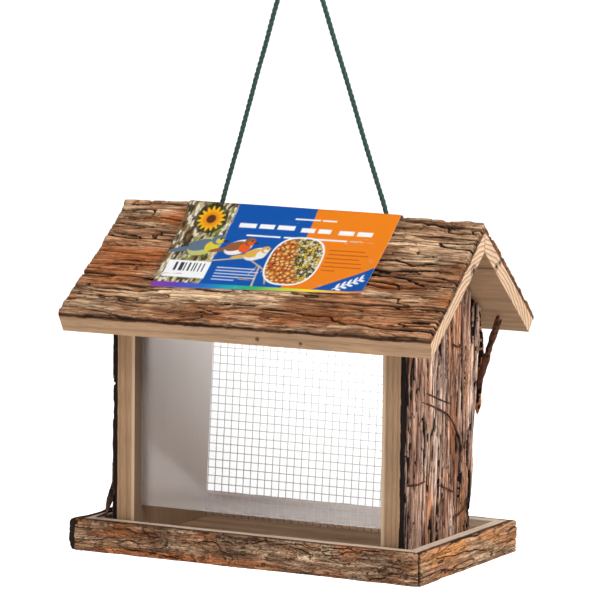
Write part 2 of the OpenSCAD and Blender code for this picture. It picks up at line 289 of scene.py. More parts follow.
class Shader:
    """Builds one node material."""

    def __init__(self, name):
        self.mat = bpy.data.materials.new(name)
        self.mat.use_nodes = True
        self.tree = self.mat.node_tree
        self.bsdf = self.tree.nodes["Principled BSDF"]
        self.object = self.add("TexCoord").outputs["Object"]

    def add(self, kind, inputs=(), **settings):
        node = self.tree.nodes.new("ShaderNode" + kind)
        for key, value in settings.items():
            setattr(node, key, value)
        for key, value in dict(inputs).items():
            self.put(node.inputs[key], value)
        return node

    def put(self, socket, value):
        if isinstance(value, bpy.types.NodeSocket):
            self.tree.links.new(value, socket)
        else:
            socket.default_value = value

    def math(self, operation, a, b=0.0, clamp=False):
        return self.add("Math", {0: a, 1: b}, operation=operation, use_clamp=clamp).outputs[0]

    def times(self, a, b, clamp=False):
        return self.math("MULTIPLY", a, b, clamp)

    def plus(self, a, b):
        return self.math("ADD", a, b)

    def vector(self, operation, a, b=(0, 0, 0), output="Vector"):
        return self.add("VectorMath", {0: a, 1: b}, operation=operation).outputs[output]

    def part(self, vector, axis):
        return self.add("SeparateXYZ", {0: vector}).outputs[axis]

    def mix(self, factor, a, b, blend="MIX"):
        node = self.add("Mix", {0: factor, 6: a, 7: b}, data_type="RGBA", blend_type=blend)
        return node.outputs[2]

    def shade(self, base, factor, *stops):
        """Multiplies a colour by a ramp."""
        return self.mix(1.0, base, self.ramp(factor, *stops), "MULTIPLY")

    def ramp(self, factor, *stops):
        node = self.add("ValToRGB", {0: factor})
        elements = node.color_ramp.elements
        while len(elements) < len(stops):
            elements.new(0.5)
        for element, (place, level) in zip(elements, stops):
            element.position = place
            element.color = (level,) * 3 + (1,)
        return node.outputs[0]

    def noise(self, scale, detail=4, rough=0.55, stretch=(1, 1, 1), distortion=0.0):
        place = self.add("Mapping", {0: self.object, 3: stretch}).outputs[0]
        node = self.add("TexNoise", {"Vector": place, "Scale": scale, "Detail": detail,
                                     "Roughness": rough, "Distortion": distortion})
        return node.outputs[0]

    def attribute(self, name, output="Fac"):
        return self.add("Attribute", attribute_name=name).outputs[output]

    def bump(self, height, strength, distance):
        return self.add("Bump", {"Height": height, "Strength": strength, "Distance": distance}).outputs[0]

    def done(self, colour, rough, normal=None, **sockets):
        self.put(self.bsdf.inputs["Base Color"], colour)
        self.put(self.bsdf.inputs["Roughness"], rough)
        if normal is not None:
            self.put(self.bsdf.inputs["Normal"], normal)
        for key, value in sockets.items():
            self.put(self.bsdf.inputs[key.replace("_", " ")], value)
        return self.mat


def rgb(red, green, blue):
    """A colour given as display values from 0 to 255, as the shader wants it."""
    return tuple(((c / 255 + 0.055) / 1.055) ** 2.4 if c > 10 else c / 255 / 12.92
                 for c in (red, green, blue)) + (1.0,)


STRETCH = {"X": (0.06, 1, 1), "Y": (1, 0.06, 1), "Z": (1, 1, 0.06)}


def bark_material(name, fibre, deep, brown, crest, orange, grey_share=0.5, sharp=0.5):
    """Bark: painted shade in its cracks and along its edges, red-brown on the flanks, grey on the worn
    crests. The higher sharp is, the wider the painted crack shade stays black."""
    s = Shader(name)
    deep, brown, crest, orange = rgb(*deep), rgb(*brown), rgb(*crest), rgb(*orange)
    fibres = STRETCH[fibre]
    crack, layer, worn, rust, ashen = map(s.attribute, ("crack", "layer", "worn", "rust", "ashen"))
    fine = s.noise(1300, 5, 0.7, fibres)
    streak = s.noise(420, 5, 0.65, fibres, 0.6)
    broad = s.noise(78, 4, 0.6, tuple(0.12 + 0.88 * k for k in fibres))
    patch = s.noise(34, 3, 0.5, tuple(0.5 + 0.5 * k for k in fibres))
    grain = s.noise(1700, 3, 0.75)
    bare = s.math("SUBTRACT", s.plus(s.times(broad, 1.5), -0.20), s.times(layer, 0.45))
    bare = s.math("MAXIMUM", s.ramp(bare, (0.30, 0.0), (0.56, 0.8)), rust)
    base = s.mix(bare, brown, orange)
    grey = s.plus(s.times(worn, 0.6), s.times(layer, grey_share))
    grey = s.plus(s.times(grey, s.math("SUBTRACT", 1.0, rust)), ashen)
    grey = s.times(grey, s.ramp(streak, (0.36, 0.15), (0.58, 1.0)), clamp=True)
    base = s.mix(grey, base, crest)
    base = s.shade(base, streak, (0.32, 0.42), (0.50, 0.98), (0.68, 1.55))
    base = s.shade(base, fine, (0.30, 0.36), (0.50, 1.0), (0.70, 1.70))
    base = s.shade(base, patch, (0.34, 0.68), (0.50, 1.0), (0.66, 1.25))
    base = s.mix(s.times(s.ramp(grain, (0.48, 0.0), (0.75, 1.0)), 0.35), base, deep)
    # The crack attribute holds painted shade in the cracks and along the slab edges, and a dark mottle on
    # loose strands; it mixes in the crack colour
    crack = s.ramp(s.times(crack, sharp), (0.04, 0.0), (0.30, 0.62), (0.55, 1.0))
    normal = s.bump(s.plus(s.times(fine, 0.7), s.times(streak, 0.8)), 0.7, 0.8 * MM)
    return s.done(s.mix(crack, base, deep), s.ramp(fine, (0.3, 0.95), (0.7, 0.80)), normal,
                  Specular_IOR_Level=0.2)


RINGS = 3.5 * MM
KNOT_COLOUR = rgb(46, 28, 17)


def wood_material(name, fibre, pith, pale, dark, end, seed=0.0, inner=0, knots=()):
    """Sawn softwood. The rings are true cylinders round the tree's middle, so that one
    pattern gives straight grain on the faces and arcs on the sawn ends. inner is the X sign of
    the wall face that looks into the hopper, which gets painted shade and a painted highlight
    along its front edge. knots are (place, radius) pairs."""
    s = Shader(name)
    fibres = STRETCH[fibre]
    across_fibre = [0 if axis == fibre else 1 for axis in "XYZ"]
    shifted = s.add("Mapping", {0: s.object, 1: (seed, 0, 0), 3: fibres}).outputs[0]
    wander = s.add("TexNoise", {"Vector": shifted, "Scale": 26, "Detail": 3}).outputs["Color"]
    bent = s.vector("ADD", s.object, s.vector("MULTIPLY", wander, (0.012,) * 3))
    flat = s.vector("MULTIPLY", s.vector("SUBTRACT", bent, pith), across_fibre)
    radius = s.vector("LENGTH", flat, output="Value")
    phase = s.math("FRACT", s.math("DIVIDE", radius, RINGS))
    late = s.ramp(phase, (0.0, 0.1), (0.5, 0.15), (0.82, 1.0), (0.96, 0.6), (1.0, 0.1))
    fine = s.noise(1100, 4, 0.6, fibres)
    blot = s.noise(18, 3, 0.5)
    saw = s.noise(240, 2, 0.5, tuple(1.0 if k < 1 else 0.25 for k in fibres))
    facing = s.add("TexCoord").outputs["Normal"]
    lengthwise = s.vector("DOT_PRODUCT", facing, [1.0 - k for k in across_fibre], "Value")
    is_end = s.ramp(s.math("ABSOLUTE", lengthwise), (0.7, 0.0), (0.85, 1.0))
    colour = s.mix(is_end, s.mix(s.times(late, 0.55), pale, dark), s.mix(s.times(late, 0.85), end, dark))
    colour = s.shade(colour, fine, (0.28, 0.72), (0.55, 1.0), (0.8, 1.12))
    colour = s.shade(colour, blot, (0.3, 0.86), (0.7, 1.06))
    if inner:
        # Painted highlight: a paler strip along the wall's inner front edge. Painted shade: the hopper's dim
        # inside face, strongest before the pane.
        shaded_inner_face = s.ramp(s.times(s.part(facing, 0), inner), (0.6, 0.0), (0.8, 1.0))
        from_middle = s.math("ABSOLUTE", s.part(s.object, 0))
        strip = s.ramp(s.math("DIVIDE", from_middle, WALL_IN + 12 * MM), (0.915, 1.0), (0.925, 0.0))
        # Painted highlight on the inner front arris
        colour = s.mix(s.times(strip, 0.55), colour, rgb(222, 196, 164))
        shade_before_pane = s.ramp(s.plus(s.part(s.object, 1), 0.5), (0.452, 0.82), (0.47, 0.12))
        # Painted shade on the inside face
        colour = s.mix(s.times(shaded_inner_face, shade_before_pane), colour, rgb(96, 72, 52))
    for spot, size in knots:
        away = s.math("DIVIDE", s.vector("DISTANCE", s.object, spot, "Value"), size)
        ring = s.ramp(away, (0.0, 1.0), (0.36, 1.0), (0.50, 0.35), (0.78, 0.7), (1.0, 0.0))
        colour = s.mix(s.times(ring, 0.95), colour, KNOT_COLOUR)
    height = s.plus(s.times(late, 0.5), s.plus(s.times(fine, 0.8), s.times(saw, 0.8)))
    return s.done(colour, s.ramp(fine, (0.3, 0.82), (0.7, 0.66)), s.bump(height, 0.35, 0.5 * MM),
                  Specular_IOR_Level=0.3)


def metal_material(name, colour, rough, spots=0.3, scale=900, metallic=1.0):
    s = Shader(name)
    mottled = s.noise(scale, 5, 0.6)
    cloud = s.noise(120, 3, 0.5)
    dull = tuple(c * 0.55 for c in colour[:3]) + (1,)
    tone = s.mix(s.times(s.ramp(mottled, (0.4, 0.0), (0.7, 1.0)), spots), colour, dull)
    return s.done(tone, s.ramp(cloud, (0.3, rough * 0.8), (0.7, min(1, rough * 1.3))),
                  s.bump(mottled, 0.2, 0.2 * MM), Metallic=metallic)


def cord_material():
    s = Shader("green_twine")
    fuzz = s.noise(2600, 4, 0.7)
    tone = s.noise(160, 2)
    colour = s.mix(s.ramp(fuzz, (0.3, 0.0), (0.75, 1.0)), rgb(12, 42, 32), rgb(44, 92, 70))
    colour = s.mix(s.times(tone, 0.4), colour, rgb(20, 58, 52))
    return s.done(colour, 0.85, s.bump(fuzz, 0.6, 0.4 * MM), Sheen_Weight=0.3)


def pane_material():
    """Clear sheet with the grey veil of a bright room on it."""
    s = Shader("clear_sheet")
    s.tree.nodes.remove(s.bsdf)
    wipe = s.noise(9, 3, 0.6, (1, 1, 0.25))
    smear = s.noise(60, 3, 0.6, (1, 1, 0.1))
    haze = s.add("BsdfDiffuse", {"Color": rgb(228, 216, 212)})
    gloss = s.add("BsdfGlossy", {"Color": (1, 1, 1, 1), "Roughness": 0.03})
    clear = s.add("BsdfTransparent", {"Color": (0.98, 0.985, 0.985, 1)})
    veil = s.ramp(s.plus(s.times(wipe, 0.6), s.times(smear, 0.4)), (0.3, 0.17), (0.75, 0.26))
    hazed = s.add("MixShader", {0: veil, 1: clear.outputs[0], 2: haze.outputs[0]})
    fresnel = s.add("Fresnel", {"IOR": 1.49})
    both = s.add("MixShader", {0: fresnel.outputs[0], 1: hazed.outputs[0], 2: gloss.outputs[0]})
    s.put(s.tree.nodes["Material Output"].inputs["Surface"], both.outputs[0])
    return s.mat


# Bark colours run from the painted shade of its cracks over its flanks and crests to its fresh orange
# patches
ROOF_BARK_MAT = bark_material("roof_bark", "X", (34, 21, 13), (152, 98, 62), (212, 178, 142),
                              (188, 108, 56), 0.42, 0.62)
WALL_BARK_MAT = bark_material("wall_bark", "Z", (24, 15, 10), (150, 102, 78), (230, 200, 180),
                              (196, 130, 84), 0.5, 1.05)
FRONT_RIM_MAT = bark_material("front_rim_bark", "X", (42, 25, 15), (158, 106, 74), (198, 172, 140),
                              (190, 118, 70), 0.7, 0.52)
SIDE_RIM_MAT = bark_material("side_rim_bark", "Y", (38, 23, 14), (162, 108, 68), (200, 168, 134),
                             (200, 134, 78), 0.25, 0.6)
LOOSE_MAT = bark_material("loose_bark", "Z", (22, 13, 10), (74, 46, 34), (116, 92, 76), (96, 58, 40),
                          0.4, 0.5)
STEEL_MAT = metal_material("zinc_plate", rgb(196, 192, 178), 0.32)
NAIL_MAT = metal_material("rusty_steel", rgb(92, 54, 34), 0.9, 0.7, metallic=0.0)
WIRE_MAT = metal_material("galvanised_wire", rgb(196, 198, 200), 0.5, 0.3, 500)
TWINE_MAT = cord_material()
PANE_MAT = pane_material()

# -------- cord, made first

CORD_D = 4 * MM
CORD_ROUTE = [(-71, 5, 229), (-71, 5, 240), (-71, 5, 250), (-71, 5, 258),
              (-70, 4.9, 265), (-67, 4.4, 275), (-61, 3.4, 293), (-54, 2.3, 314),
              (-46, 1, 339), (-38, -0.4, 364), (-30, -1.7, 388), (-22, -3.1, 413),
              (-15, -4.3, 434), (-10.5, -5, 448), (-7.5, -5.5, 456), (-4, -5.9, 460),
              (0, -6, 461.3),
              (4, -5.9, 460), (7.5, -5.5, 456), (10.5, -5, 448), (15, -4.3, 434),
              (22, -3.1, 413), (30, -1.7, 388), (38, -0.4, 364), (46, 1, 339),
              (54, 2.3, 314), (61, 3.4, 293), (67, 4.4, 275), (70, 4.9, 265),
              (71, 5, 258), (71, 5, 250), (71, 5, 240), (71, 5, 229)]
TWIST_PITCH, STRAND_R = 13 * MM, 1.06 * MM


def make_cord():
    """Three strands twisted round the cord's line, and a knot at each end."""
    line, length = along([from_base(*p) for p in CORD_ROUTE], 1.1 * MM)
    a, b = frames_of(line)
    far = np.linspace(0, length, len(line))
    off = CORD_D / 2 - STRAND_R
    runs = []
    for k in range(3):
        turn = 2 * math.pi * (far / TWIST_PITCH + k / 3)
        path = line + off * (a * np.cos(turn)[:, None] + b * np.sin(turn)[:, None])
        runs.append((path, STRAND_R * (1 + 0.05 * np.sin(far / (3.1 * MM) + k))))
    cord = tubes("green_cord", runs, TWINE_MAT)
    belongs(cord, "house", "cord", "cord_loop")
    knots = [make_knot(side) for side in (-1, 1)]


def make_knot(side):
    """An overhand knot with a short tail."""
    name = ("left" if side < 0 else "right") + "_cord_knot"
    low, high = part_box(name)
    middle = (low + high) / 2
    turn = np.linspace(0, 2 * math.pi, 90)
    lobe = 2.6 + np.cos(3 * turn)
    knot = np.stack([lobe * np.cos(2 * turn), lobe * np.sin(2 * turn), 1.5 * np.sin(3 * turn)], 1)
    knot = knot * 1.02 * MM + np.array(middle)
    tail = [middle + Vector((side * x, y, z)) * MM
            for x, y, z in ((1.5, 1, -3.2), (2.5, 1.5, -8), (4.5, 1, -13))]
    runs = [(knot, 1.7 * MM), (along(tail, 1 * MM)[0], 1.6 * MM)]
    piece = tubes(name + "_tied", runs, TWINE_MAT, 10)
    belongs(piece, "house", "cord", name)
    return piece


make_cord()

# -------- bark

# How far a slab's foot is let into the wood, and its least height over it
SUNK = 0.4 * MM
LEAST_BARK = 0.4 * MM


def furrows(u, v, long, wide, width, seed):
    """Long wandering cracks: 1 in their middles, thinning out and closing here and there."""
    field = fractal(u / long, v / wide, seed, 3)
    slope_v = np.gradient(field, axis=1) / np.maximum(np.abs(np.gradient(v, axis=1)), 1e-7)
    slope_u = np.gradient(field, axis=0) / np.maximum(np.abs(np.gradient(u, axis=0)), 1e-7)
    away = np.abs(field - 0.5) / np.sqrt(slope_u ** 2 + slope_v ** 2 + 1e-3)
    width = width * (0.35 + 1.3 * value_noise(u / (0.5 * long), v / wide, seed + 3))
    open_here = smooth(0.22, 0.5, fractal(u / (0.8 * long), v / wide, seed + 4, 2))
    return (1 - smooth(0.42, 1.0, away / width)) * open_here


def bark_shape(u, v, k, seed):
    """Height above the wood in metres, the painted shade in its cracks, step outlines and fibre
    valleys, and how deep-layered and how worn each point is. u runs along the fibres, v across
    them, and k is the style."""
    long, wide = k.long, k.wide
    v = v + k.warp * (fractal(u / (1.1 * long), v / (3 * wide), seed + 1) - 0.5)
    v = v + 0.22 * k.warp * (fractal(u / (0.25 * long), v / wide, seed + 2) - 0.5)
    deep = np.maximum(furrows(u, v, long, wide, k.crack, seed + 10),
                      k.more * furrows(u, v, 1.2 * long, 0.58 * wide, 0.8 * k.crack, seed + 15))
    hair = furrows(u, v, 0.45 * long, 0.42 * wide, k.crack * 0.38, seed + 20)
    short = furrows(v, u, 1.6 * wide, 0.45 * long, k.crack * 0.5, seed + 30) if k.cross else 0
    terrace = k.steps * fractal(u / (0.55 * long), v / (1.1 * wide), seed + 40, 4)
    part = terrace - np.floor(terrace)
    outline = k.outline * (1 - smooth(0.03, 0.14, np.minimum(part, 1 - part)))
    layer = np.floor(terrace) + smooth(0.0, 0.22, part)
    layer = np.clip((layer - 0.25 * k.steps) / (0.5 * k.steps), 0, 1)
    fibre = ridged(u / (0.35 * long), v / k.fibre, seed + 50)
    thread = ridged(u / (0.16 * long), v / (0.42 * k.fibre), seed + 60, 2)
    swell = fractal(u / (0.7 * long), v / (1.6 * wide), seed + 70, 3)
    cracks = np.clip(deep + 0.55 * hair + 0.6 * k.cross * short, 0, 1)
    height = (k.base + k.layer * (layer - 0.5) + k.swell * (swell - 0.5)
              + k.rough * (0.7 * (fibre - 0.62) + 0.3 * (thread - 0.62))
              - k.depth * (deep + 0.35 * hair + 0.5 * k.cross * short))
    worn = smooth(0.50, 0.66, swell) * (1 - cracks)
    # Painted shade: dark in the cracks, on the flake steps' outlines and in the fibre valleys
    dark = np.clip(np.maximum(cracks, outline) + 0.45 * smooth(0.48, 0.30, fibre), 0, 1)
    return height, dark, layer, worn


def rounded(t):
    """A quarter circle that rises from 0 to 1."""
    return np.sqrt(np.clip(1 - (1 - np.clip(t, 0, 1)) ** 2, 0, 1))


def bark_sheet(name, body, node, slot, material, style, seed, outline, place, counts,
               square=False, dents=(), patches=(), notches=()):
    """A slab of bark. outline(a, b) gives metres along and across the fibres for a and b from
    0 to 1, and place(u, v, h) gives the point at height h above the wood. A square slab keeps
    its full height at its first edge, dents are places (u, v) pressed by nail heads, and
    patches are ovals (u, v, half length, half width, colour key, strength) of one colour. In the
    notches (middle u, half length, from v, to v) the bark is cut down to the wood."""
    a, b, index, quads = grid(*counts)
    u, v = outline(a, b)
    span_u, span_v = np.ptp(u), np.ptp(v)
    ragged = (fractal(v / 0.004, u * 0 + 0.3, seed + 11) - 0.5) * style.ragged
    ends = smooth(0.012 / span_u, 0, a) - smooth(1 - 0.012 / span_u, 1, a)
    height, dark, layer, worn = bark_shape(u, v, style, seed)
    u = u + ends * (ragged + style.ragged * 0.35 * dark)
    edge = (fractal(u / 0.009, v * 0 + 0.7, seed + 12) - 0.5) * style.wavy
    first_edge = 0 if square else smooth(0.008 / span_v, 0, b)
    v = v + (first_edge - smooth(1 - 0.008 / span_v, 1, b)) * edge
    across = (1 - b if square else np.minimum(b, 1 - b)) * span_v
    round_off = rounded(across / style.round)
    end_off = rounded(np.minimum(a, 1 - a) * span_u / style.end_round)
    tip = style.flare * smooth(0.10, 0.0, a)
    height = height + style.crown * np.sin(math.pi * b) + tip * MM
    height = np.maximum(height * (0.35 + 0.65 * round_off) * (0.55 + 0.45 * end_off), LEAST_BARK)
    # Painted shade along the slab's rounded edges, at its ends and on a flared tip
    dark = np.clip(dark + 0.9 * (1 - round_off) + style.end_dark * (1 - end_off) + 0.3 * tip, 0, 1)
    tint = {"rust": np.zeros(u.shape), "ashen": np.zeros(u.shape)}
    for pu, pv, ru, rv, key, strength in patches:
        far = np.hypot((u - pu) / ru, (v - pv) / rv) + 0.9 * (fractal(u / 0.02, v / 0.004, seed + 13) - 0.5)
        tint[key] = np.maximum(tint[key], strength * (1 - smooth(0.5, 1.15, far)))
    for du, dv in dents:
        pressed = np.minimum(height, style.base - 0.9 * MM)
        height = pressed + (height - pressed) * smooth(1.7 * MM, 2.8 * MM, np.hypot(u - du, v - dv))
    for at, half, v_from, v_to in notches:
        height[(np.abs(u - at) < half) & (v > v_from) & (v < v_to)] = -SUNK / 2
    rim = np.concatenate([index[0, :], index[1:, -1], index[-1, -2::-1], index[-2:0:-1, 0]])
    count = len(rim)
    rim_u, rim_v, rim_h, rim_shade = (field.ravel()[rim] for field in (u, v, height, dark))
    layers = [place(u, v, height), place(rim_u, rim_v, rim_h * 0.5), place(rim_u, rim_v, rim_h * 0 - SUNK)]
    lower = index.size + np.arange(count)
    rings = [rim, lower, lower + count]
    faces = quads.reshape(-1, 4).tolist()
    for outer, inner in zip(rings, rings[1:]):
        faces += np.stack([np.roll(outer, -1), outer, inner, np.roll(inner, -1)], -1).tolist()
    faces.append(rings[2].tolist())
    vertices = np.vstack([points.reshape(-1, 3) for points in layers])
    piece = new_object(name, vertices, faces, material)
    # The painted shade is stored as crack; the slab's cut sides get the end shade
    store(piece, "crack", np.concatenate([dark.ravel(), rim_shade * 0.3 + 0.7 * style.end_dark,
                                          np.full(count, style.end_dark)]))
    for key, field, edge_value in (("layer", layer, 0.3), ("worn", worn, 0.0),
                                   ("rust", tint["rust"], 0.0), ("ashen", tint["ashen"], 0.0)):
        store(piece, key, np.concatenate([field.ravel(), np.full(2 * count, edge_value)]))
    fix_normals(piece)
    belongs(piece, body, slot, node)


def varied(style, **changes):
    """A style that differs from another in a few values."""
    return SimpleNamespace(**{**vars(style), **changes})


# outline and end_dark set the painted shade on the flake steps and at the slab's ends
ROOF_STYLE = SimpleNamespace(
    base=4.2 * MM, long=0.095, wide=0.0115, warp=0.012, crack=1.15 * MM, more=0.75, cross=0.0,
    steps=7, layer=2.0 * MM, outline=0.3, fibre=2.3 * MM, rough=1.0 * MM, swell=2.4 * MM,
    depth=2.4 * MM, ragged=1.3 * MM, wavy=2.0 * MM, crown=0.3 * MM, round=3.2 * MM,
    end_round=1.6 * MM, end_dark=0.45, flare=0.0)
WALL_STYLE = varied(
    ROOF_STYLE, base=4.8 * MM, long=0.13, wide=0.0098, crack=1.75 * MM, more=1.0, layer=1.4 * MM,
    outline=0.0, fibre=2.4 * MM, rough=1.3 * MM, depth=3.6 * MM, warp=0.006, crown=0.8 * MM,
    ragged=2.6 * MM, end_dark=0.9)
FRONT_RIM_STYLE = varied(
    ROOF_STYLE, base=4.6 * MM, long=0.032, wide=0.0070, crack=0.5 * MM, more=0.3, cross=0.5,
    layer=2.2 * MM, steps=9, outline=0.9, fibre=1.5 * MM, rough=0.7 * MM, swell=1.2 * MM,
    depth=1.5 * MM, warp=0.010, crown=0.5 * MM, round=1.0 * MM, end_round=0.6 * MM, ragged=0.0,
    wavy=0.5 * MM)
SIDE_RIM_STYLE = varied(
    FRONT_RIM_STYLE, base=4.4 * MM, long=0.07, wide=0.0095, crack=0.6 * MM, cross=0.0,
    layer=1.4 * MM, steps=6, outline=0.5, fibre=1.6 * MM, rough=1.1 * MM, swell=1.6 * MM,
    depth=1.3 * MM, warp=0.006)
LEFT_RIM_STYLE = varied(SIDE_RIM_STYLE, base=6.4 * MM, layer=2.4 * MM, flare=4.0, end_dark=1.0)


def skew(x, s):
    """The front roof slab's left end, which is cut a little out of square."""
    lean = 0.036 * (s - 42 * MM) + 1.8 * MM * smooth(0.05, 0.115, s)
    return -lean * smooth(-0.09, -0.15, x)


# The bark's notches round the hinges, and its gap at the joint above and below
HINGE_X, NOTCH_HALF, NOTCH_S = 100 * MM, 16.2 * MM, (20 * MM, 57.6 * MM)
JOINT_GAP_ABOVE, JOINT_GAP_BELOW = 0.9 * MM, 0.3 * MM


def roof_bark(name, node, body, side, s_from, s_to, seed, counts, nails=(), patches=()):
    """Bark on one roof half from s_from to s_to down the slope. At the ridge its edge stands
    upright, so that both halves meet."""
    at_ridge = s_from == 0

    def outline(a, b):
        return (2 * a - 1) * ROOF_X, s_from + b * (s_to - s_from)

    def place(u, v, h):
        upright = (1 - smooth(0, 0.010, v - s_from)) if at_ridge else 0.0
        h = h + 2.2 * MM * upright * smooth(0.0, -0.12, u)
        y, z = on_slope(v - h * math.tan(SLOPE) * upright, h, side)
        return np.stack([u + (skew(u, v) if side < 0 else 0), y, z], -1)

    dents = [(x, at) for x in (-NAIL_X, NAIL_X) for at in nails]
    notches = [(x, NOTCH_HALF, *NOTCH_S) for x in (-HINGE_X, HINGE_X)] if side > 0 else ()
    bark_sheet(name, body, node, "roof_bark", ROOF_BARK_MAT, ROOF_STYLE, seed, outline, place,
               counts, at_ridge, dents, patches, notches)


roof_bark("front_bark", "front_roof_bark", "house", -1, 0.0, ROOF_W, 101, (310, 300),
          (30 * MM, 66 * MM),
          ((-0.125, 0.062, 0.035, 0.026, "rust", 0.7), (0.04, 0.103, 0.11, 0.007, "rust", 0.5),
           (-0.118, 0.017, 0.016, 0.0035, "ashen", 1.0), (-0.06, 0.090, 0.07, 0.007, "ashen", 0.6),
           (0.12, 0.040, 0.03, 0.02, "ashen", 0.3)))
roof_bark("ridge_bark", "ridge_strip_bark", "house", 1, 0.0, JOINT_S - JOINT_GAP_ABOVE, 202,
          (290, 100), (14 * MM,))
roof_bark("flap_bark", "roof_flap_bark", "flap", 1, JOINT_S + JOINT_GAP_BELOW, ROOF_W, 303,
          (300, 200))

GABLE_FALL = 0.7968


def wall_bark(side, seed):
    """Bark outside one wall, under both roof slopes and up to the wall's leaning rear edge."""
    node = ("left" if side < 0 else "right") + "_wall_bark"
    low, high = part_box(node)
    rear_low = MID_Y + 45 * MM

    def outline(a, b):
        y = WALL_FRONT + b * (rear_low + (high.y - rear_low) * a - WALL_FRONT)
        back = y - MID_Y
        rear_top = high.z - back * math.tan(SLOPE) - 1.9 * MM * smooth(0.012, 0.02, back)
        top = np.where(back < 0, high.z + back * GABLE_FALL, rear_top)
        return low.z + 0.6 * MM + a * (top - low.z - 1.2 * MM), y

    def place(u, v, h):
        return np.stack([side * (WALL_OUT + h), v, u], -1)

    bark_sheet(node + "_skin", "house", node, "wall_bark", WALL_BARK_MAT, WALL_STYLE, seed,
               outline, place, (270, 300))


wall_bark(1, 404)
wall_bark(-1, 505)

LONG_RIM_NAILS = ((-135, 18), (-35, 4.5), (17, 4.5), (135, 7))
SIDE_RIM_NAILS = ((-40, 5.5), (40, 5.5))


def rim_bark(edge, along_x, sign, seed, style, material, counts, patches=(), mitre=0.9, reach=0.0):
    """Bark on the outside of one rim board. Its last end is mitred, its first end is mitred by
    the given share, and the first end may reach past the wood."""
    nails = LONG_RIM_NAILS if along_x else SIDE_RIM_NAILS
    turned = -sign if along_x else sign
    half, depth = (WOOD_X, WOOD_Y) if along_x else (WOOD_Y, WOOD_X)

    def outline(a, b):
        return (2 * a - 1) * half, b * (RIM_TOP - BASE_Z)

    def place(u, v, h):
        a = 0.5 + u / (2 * half)
        first, last = smooth(0.03, 0, a), smooth(0.97, 1, a)
        u = u + h * (0.9 * last - mitre * first) - reach * first
        out = sign * (depth + h)
        return np.stack([u, MID_Y + out, BASE_Z + v] if along_x else [out, MID_Y + u, BASE_Z + v], -1)

    bark_sheet(edge + "_rim_skin", "house", edge + "_rim_bark", "rim_bark", material, style, seed,
               outline, place, counts, dents=[(turned * x * MM, z * MM) for x, z in nails], patches=patches)


rim_bark("front", True, -1, 606, FRONT_RIM_STYLE, FRONT_RIM_MAT, (420, 64),
         ((-0.06, 0.003, 0.09, 0.004, "rust", 0.9), (-0.105, 0.020, 0.010, 0.005, "rust", 0.9),
          (-0.05, 0.013, 0.03, 0.006, "ashen", 0.5), (0.09, 0.010, 0.05, 0.006, "ashen", 0.4)),
         0.0, 6.0 * MM)
rim_bark("rear", True, 1, 707, FRONT_RIM_STYLE, FRONT_RIM_MAT, (380, 60))
rim_bark("right", False, 1, 808, SIDE_RIM_STYLE, SIDE_RIM_MAT, (260, 64),
         ((-0.03, 0.019, 0.04, 0.006, "rust", 0.8), (0.02, 0.004, 0.06, 0.004, "ashen", 0.5)))
rim_bark("left", False, -1, 909, LEFT_RIM_STYLE, SIDE_RIM_MAT, (260, 64), (), 0.0, 3.2 * MM)

# -------- sawn boards

SLICE_STEP, ARRIS = 7 * MM, 0.45 * MM
SHARP_EDGE, SMOOTH_UP_TO = math.radians(25), math.radians(13)


def sawn_board(node, fibre, pith, seed, shades, body="house", warp=None, inner=0, knots=()):
    """The board of a CAD node with softened, slightly uneven arrises, in ringed wood."""
    material = wood_material("wood_" + node, fibre, pith, *shades, seed, inner, knots)
    work = bmesh.new()
    work.from_mesh(NODES[node].data)
    bmesh.ops.remove_doubles(work, verts=work.verts, dist=1e-5)
    bmesh.ops.dissolve_limit(work, angle_limit=math.radians(1), verts=work.verts, edges=work.edges)
    low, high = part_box(node)
    k = "XYZ".index(fibre)
    normal = Vector([1.0 if i == k else 0.0 for i in range(3)])
    for place in np.arange(low[k] + SLICE_STEP, high[k] - 0.3 * SLICE_STEP, SLICE_STEP):
        bmesh.ops.bisect_plane(work, geom=work.verts[:] + work.edges[:] + work.faces[:], dist=1e-6,
                               plane_co=normal * place, plane_no=normal)
    sharp = [e for e in work.edges if e.is_manifold and e.calc_face_angle(0) > SHARP_EDGE]
    bmesh.ops.bevel(work, geom=sharp, offset=ARRIS, segments=2, profile=0.5, affect="EDGES",
                    clamp_overlap=True)
    work.normal_update()
    x, y, z = np.array([tuple(v.co) for v in work.verts]).T
    waves = fractal(x * 90 + seed, (y + z) * 90, 40 + seed, 3) - 0.5
    for v, wave in zip(work.verts, waves.tolist()):
        v.co += v.normal * (0.28 * MM * wave - 0.10 * MM)
        if warp:
            v.co += warp(v.co)
    mesh = mesh_of(work, node + "_board", material)
    mesh.polygons.foreach_set("use_smooth", [True] * len(mesh.polygons))
    mesh.set_sharp_from_angle(angle=SMOOTH_UP_TO)
    belongs(link(node + "_board", mesh), body, "sawn_wood", node)


def front_board_warp(place):
    """How far the front board's left end is moved: its skew, and the slant of its eave face."""
    s = (RIDGE_Z - place.z) / math.sin(SLOPE)
    drop = RIDGE_Z - (MID_Y - place.y) * math.tan(SLOPE) - place.z
    slant = 4.4 * MM * smooth(-0.125, -0.150, place.x) * smooth(0.002, 0.016, drop)
    return Vector((float(skew(np.array(place.x), s) + slant), 0, 0))


def slope_pith(side, depth, s):
    y, z = on_slope(s, -depth, side)
    return (0.0, float(y), float(z))


# Each board's face, late wood and sawn end
RIM_SHADES = (rgb(220, 198, 176), rgb(172, 140, 112), rgb(214, 188, 162))
FLOOR_SHADES = (rgb(224, 184, 146), rgb(160, 120, 86), rgb(216, 182, 150))
WALL_SHADES = (rgb(170, 136, 104), rgb(134, 98, 68), rgb(186, 152, 120))
